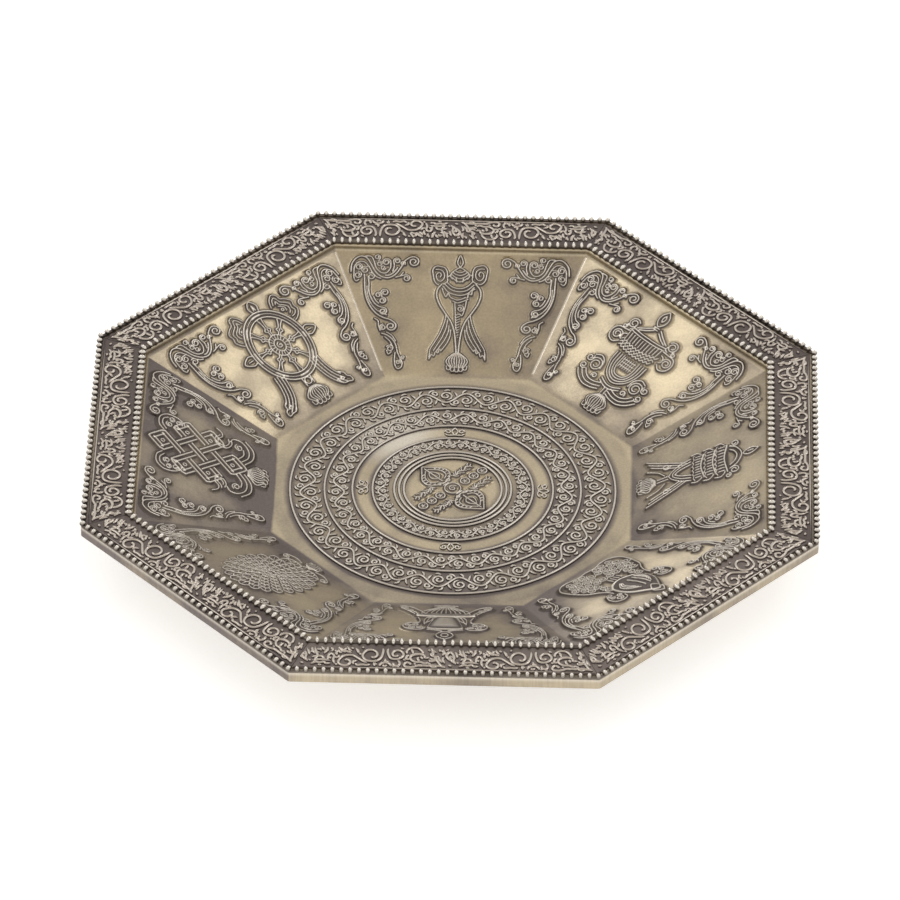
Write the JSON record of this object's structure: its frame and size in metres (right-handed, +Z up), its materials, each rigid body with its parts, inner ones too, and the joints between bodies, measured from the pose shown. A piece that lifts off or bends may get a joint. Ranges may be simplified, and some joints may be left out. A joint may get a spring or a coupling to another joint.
{
  "type": "fire offering dish",
  "caption": "Shallow eight-sided brass offering dish with sloped walls, beaded rim, chased border, raised symbols and floor rings.",
  "frame": {"origin": "middle of the flat underside of the floor, on the surface the dish stands on", "axes": "+Z up out of the dish, +Y towards the parasol panel, +X towards the victory banner panel"},
  "size_m": [0.2422, 0.2422, 0.0255],
  "materials": {
    "pale_brass": "satin, patinated",
    "dark_brass": "dark patina",
    "wire_brass": "polished crests",
    "relief_brass": "polished crests over dark patina"
  },
  "bodies": {
    "root": {"dish_pan": "pale_brass", "border_strip_n": "dark_brass", "border_strip_ne": "dark_brass", "border_strip_e": "dark_brass", "border_strip_se": "dark_brass", "border_strip_s": "dark_brass", "border_strip_sw": "dark_brass", "border_strip_w": "dark_brass", "border_strip_nw": "dark_brass", "outer_bead_wire": "wire_brass", "inner_bead_wire": "wire_brass", "floor_ring_1": "wire_brass", "floor_ring_2": "wire_brass", "floor_ring_3": "wire_brass", "floor_ring_4": "wire_brass", "medallion_frame": "wire_brass", "symbol_parasol": "relief_brass", "symbol_canopy_vase": "relief_brass", "symbol_victory_banner": "relief_brass", "symbol_conch": "relief_brass", "symbol_treasure_vase": "relief_brass", "symbol_lotus": "relief_brass", "symbol_endless_knot": "relief_brass", "symbol_wheel": "relief_brass", "spray_n_left": "relief_brass", "spray_n_right": "relief_brass", "spray_ne_left": "relief_brass", "spray_ne_right": "relief_brass", "spray_e_left": "relief_brass", "spray_e_right": "relief_brass", "spray_se_left": "relief_brass", "spray_se_right": "relief_brass", "spray_s_left": "relief_brass", "spray_s_right": "relief_brass", "spray_sw_left": "relief_brass", "spray_sw_right": "relief_brass", "spray_w_left": "relief_brass", "spray_w_right": "relief_brass", "spray_nw_left": "relief_brass", "spray_nw_right": "relief_brass", "vine_band_outer": "relief_brass", "vine_band_middle": "relief_brass", "vine_band_inner": "relief_brass", "bud_n": "relief_brass", "bud_e": "relief_brass", "bud_s": "relief_brass", "bud_w": "relief_brass", "vajra": "relief_brass", "roundel_right_1": "relief_brass", "roundel_right_2": "relief_brass", "roundel_right_3": "relief_brass", "roundel_left_1": "relief_brass", "roundel_left_2": "relief_brass", "roundel_left_3": "relief_brass", "twig_right_1": "relief_brass", "twig_right_2": "relief_brass", "twig_left_1": "relief_brass", "twig_left_2": "relief_brass"}
  },
  "joints": []
}
